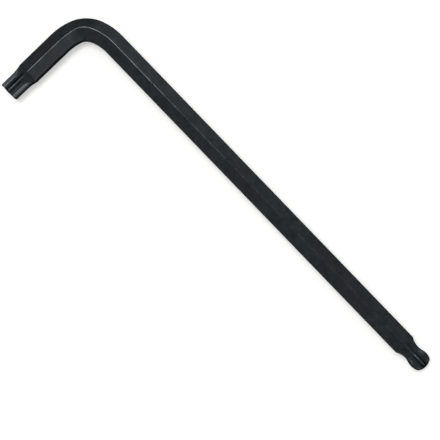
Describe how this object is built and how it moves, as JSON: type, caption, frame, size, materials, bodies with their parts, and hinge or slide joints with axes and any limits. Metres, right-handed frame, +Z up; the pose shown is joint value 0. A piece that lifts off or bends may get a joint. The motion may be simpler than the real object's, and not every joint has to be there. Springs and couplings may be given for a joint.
{
  "type": "star-drive key",
  "caption": "Long-arm L-shaped star-drive key bent from hexagonal bar, with a straight star on the short arm and a star ball on the long arm.",
  "frame": {"origin": "middle of the key's box, on the surface that the key lies on", "axes": "+X along the long arm towards the ball, the short arm along -Y, +Z up; the key lies flat on the lower corners of its hexagonal bar"},
  "size_m": [0.1216, 0.0296, 0.0063],
  "materials": {
    "black_oxide_steel": "blackened alloy steel, satin, with a fine drawn grain along the bar"
  },
  "bodies": {
    "root": {"star_key": "black_oxide_steel"}
  },
  "joints": []
}
